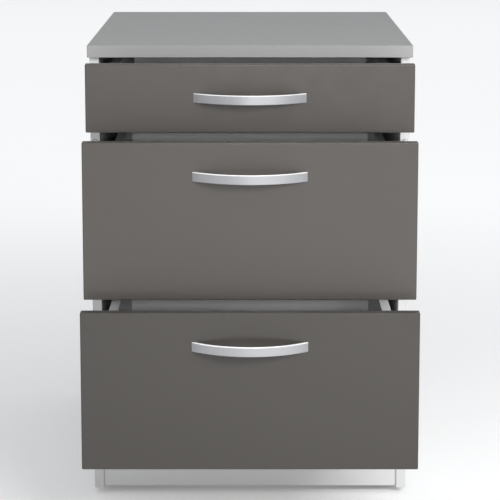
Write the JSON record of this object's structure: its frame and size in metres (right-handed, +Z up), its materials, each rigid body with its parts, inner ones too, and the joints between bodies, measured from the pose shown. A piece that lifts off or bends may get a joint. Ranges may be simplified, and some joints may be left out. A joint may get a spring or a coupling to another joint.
{
  "type": "rolling pedestal cabinet",
  "caption": "Under-desk drawer pedestal on concealed swivel castors, with bow-handled drawers on ball runners.",
  "frame": {"origin": "on the floor, under the middle of the box round the cabinet with its drawers as drawn at rest", "axes": "+Z up, -Y the way the drawers open, +X to the right as seen from the front"},
  "size_m": [0.424, 0.8144, 0.6085],
  "materials": {
    "top_laminate": "melamine-faced chipboard, mid light grey, fine pearl grain",
    "carcass_laminate": "melamine-faced chipboard, very light grey",
    "front_laminate": "satin melamine-faced board, warm anthracite",
    "box_laminate": "light grey foil-wrapped chipboard",
    "base_board": "light grey lacquered hardboard",
    "satin_aluminium": "fine brushed, satin",
    "zinc_steel": "bright zinc plated",
    "bright_steel": "polished steel",
    "castor_plastic": "black nylon",
    "castor_tyre": "dark grey nylon",
    "dowel_wood": "fluted beech",
    "clear_rubber": "translucent soft plastic"
  },
  "bodies": {
    "carcass": {"top_panel": "top_laminate", "left_side_panel": "carcass_laminate", "right_side_panel": "carcass_laminate", "bottom_panel": "carcass_laminate", "back_panel": "carcass_laminate", "plinth_panel": "carcass_laminate", "cam_fittings": "zinc_steel", "dowels": "dowel_wood", "carcass_screws": "zinc_steel", "castor_plates": "zinc_steel", "front_buffers": "clear_rubber", "top_drawer_cabinet_rails": "zinc_steel", "middle_drawer_cabinet_rails": "zinc_steel", "bottom_drawer_cabinet_rails": "zinc_steel"},
    "top_drawer": {"top_drawer_front": "front_laminate", "top_drawer_left_side": "box_laminate", "top_drawer_right_side": "box_laminate", "top_drawer_back": "box_laminate", "top_drawer_base": "base_board", "top_drawer_handle": "satin_aluminium", "top_drawer_screws": "zinc_steel", "top_drawer_box_rails": "zinc_steel"},
    "top_drawer_middle_rails": {"top_drawer_middle_rails": "zinc_steel"},
    "top_drawer_outer_cages": {"top_drawer_outer_ball_cages": "bright_steel"},
    "top_drawer_inner_cages": {"top_drawer_inner_ball_cages": "bright_steel"},
    "middle_drawer": {"middle_drawer_front": "front_laminate", "middle_drawer_left_side": "box_laminate", "middle_drawer_right_side": "box_laminate", "middle_drawer_back": "box_laminate", "middle_drawer_base": "base_board", "middle_drawer_handle": "satin_aluminium", "middle_drawer_screws": "zinc_steel", "middle_drawer_box_rails": "zinc_steel"},
    "middle_drawer_middle_rails": {"middle_drawer_middle_rails": "zinc_steel"},
    "middle_drawer_outer_cages": {"middle_drawer_outer_ball_cages": "bright_steel"},
    "middle_drawer_inner_cages": {"middle_drawer_inner_ball_cages": "bright_steel"},
    "bottom_drawer": {"bottom_drawer_front": "front_laminate", "bottom_drawer_left_side": "box_laminate", "bottom_drawer_right_side": "box_laminate", "bottom_drawer_back": "box_laminate", "bottom_drawer_base": "base_board", "bottom_drawer_handle": "satin_aluminium", "bottom_drawer_screws": "zinc_steel", "bottom_drawer_box_rails": "zinc_steel"},
    "bottom_drawer_middle_rails": {"bottom_drawer_middle_rails": "zinc_steel"},
    "bottom_drawer_outer_cages": {"bottom_drawer_outer_ball_cages": "bright_steel"},
    "bottom_drawer_inner_cages": {"bottom_drawer_inner_ball_cages": "bright_steel"},
    "front_left_castor": {"front_left_castor_hood": "castor_plastic", "front_left_castor_axle": "bright_steel"},
    "front_left_wheels": {"front_left_castor_wheels": "castor_tyre"},
    "front_right_castor": {"front_right_castor_hood": "castor_plastic", "front_right_castor_axle": "bright_steel"},
    "front_right_wheels": {"front_right_castor_wheels": "castor_tyre"},
    "rear_left_castor": {"rear_left_castor_hood": "castor_plastic", "rear_left_castor_axle": "bright_steel"},
    "rear_left_wheels": {"rear_left_castor_wheels": "castor_tyre"},
    "rear_right_castor": {"rear_right_castor_hood": "castor_plastic", "rear_right_castor_axle": "bright_steel"},
    "rear_right_wheels": {"rear_right_castor_wheels": "castor_tyre"}
  },
  "joints": [
    {"name": "top_drawer_slide", "type": "slide", "parent": "carcass", "child": "top_drawer", "axis": [0, -1, 0], "range_m": [-0.068, 0.382]},
    {"name": "top_drawer_middle_rails_slide", "type": "slide", "parent": "carcass", "child": "top_drawer_middle_rails", "axis": [0, -1, 0], "range_m": [-0.034, 0.191]},
    {"name": "top_drawer_outer_cages_slide", "type": "slide", "parent": "carcass", "child": "top_drawer_outer_cages", "axis": [0, -1, 0], "range_m": [-0.017, 0.0955]},
    {"name": "top_drawer_inner_cages_slide", "type": "slide", "parent": "carcass", "child": "top_drawer_inner_cages", "axis": [0, -1, 0], "range_m": [-0.051, 0.2865]},
    {"name": "middle_drawer_slide", "type": "slide", "parent": "carcass", "child": "middle_drawer", "axis": [0, -1, 0], "range_m": [-0.14, 0.31]},
    {"name": "middle_drawer_middle_rails_slide", "type": "slide", "parent": "carcass", "child": "middle_drawer_middle_rails", "axis": [0, -1, 0], "range_m": [-0.07, 0.155]},
    {"name": "middle_drawer_outer_cages_slide", "type": "slide", "parent": "carcass", "child": "middle_drawer_outer_cages", "axis": [0, -1, 0], "range_m": [-0.035, 0.0775]},
    {"name": "middle_drawer_inner_cages_slide", "type": "slide", "parent": "carcass", "child": "middle_drawer_inner_cages", "axis": [0, -1, 0], "range_m": [-0.105, 0.2325]},
    {"name": "bottom_drawer_slide", "type": "slide", "parent": "carcass", "child": "bottom_drawer", "axis": [0, -1, 0], "range_m": [-0.204, 0.246]},
    {"name": "bottom_drawer_middle_rails_slide", "type": "slide", "parent": "carcass", "child": "bottom_drawer_middle_rails", "axis": [0, -1, 0], "range_m": [-0.102, 0.123]},
    {"name": "bottom_drawer_outer_cages_slide", "type": "slide", "parent": "carcass", "child": "bottom_drawer_outer_cages", "axis": [0, -1, 0], "range_m": [-0.051, 0.0615]},
    {"name": "bottom_drawer_inner_cages_slide", "type": "slide", "parent": "carcass", "child": "bottom_drawer_inner_cages", "axis": [0, -1, 0], "range_m": [-0.153, 0.1845]},
    {"name": "front_left_swivel", "type": "hinge", "parent": "carcass", "child": "front_left_castor", "pos_m": [-0.14, -0.07775, 0.068], "axis": [0, 0, 1], "continuous": true},
    {"name": "front_left_roll", "type": "hinge", "parent": "front_left_castor", "child": "front_left_wheels", "pos_m": [-0.14, -0.05575, 0.025], "axis": [1, 0, 0], "continuous": true},
    {"name": "front_right_swivel", "type": "hinge", "parent": "carcass", "child": "front_right_castor", "pos_m": [0.14, -0.07775, 0.068], "axis": [0, 0, 1], "continuous": true},
    {"name": "front_right_roll", "type": "hinge", "parent": "front_right_castor", "child": "front_right_wheels", "pos_m": [0.14, -0.05575, 0.025], "axis": [1, 0, 0], "continuous": true},
    {"name": "rear_left_swivel", "type": "hinge", "parent": "carcass", "child": "rear_left_castor", "pos_m": [-0.14, 0.33125, 0.068], "axis": [0, 0, 1], "continuous": true},
    {"name": "rear_left_roll", "type": "hinge", "parent": "rear_left_castor", "child": "rear_left_wheels", "pos_m": [-0.14, 0.35325, 0.025], "axis": [1, 0, 0], "continuous": true},
    {"name": "rear_right_swivel", "type": "hinge", "parent": "carcass", "child": "rear_right_castor", "pos_m": [0.14, 0.33125, 0.068], "axis": [0, 0, 1], "continuous": true},
    {"name": "rear_right_roll", "type": "hinge", "parent": "rear_right_castor", "child": "rear_right_wheels", "pos_m": [0.14, 0.35325, 0.025], "axis": [1, 0, 0], "continuous": true}
  ],
  "couplings": [
    {"joint": "top_drawer_middle_rails_slide", "follows": "top_drawer_slide", "ratio": 0.5},
    {"joint": "top_drawer_outer_cages_slide", "follows": "top_drawer_slide", "ratio": 0.25},
    {"joint": "top_drawer_inner_cages_slide", "follows": "top_drawer_slide", "ratio": 0.75},
    {"joint": "middle_drawer_middle_rails_slide", "follows": "middle_drawer_slide", "ratio": 0.5},
    {"joint": "middle_drawer_outer_cages_slide", "follows": "middle_drawer_slide", "ratio": 0.25},
    {"joint": "middle_drawer_inner_cages_slide", "follows": "middle_drawer_slide", "ratio": 0.75},
    {"joint": "bottom_drawer_middle_rails_slide", "follows": "bottom_drawer_slide", "ratio": 0.5},
    {"joint": "bottom_drawer_outer_cages_slide", "follows": "bottom_drawer_slide", "ratio": 0.25},
    {"joint": "bottom_drawer_inner_cages_slide", "follows": "bottom_drawer_slide", "ratio": 0.75}
  ]
}
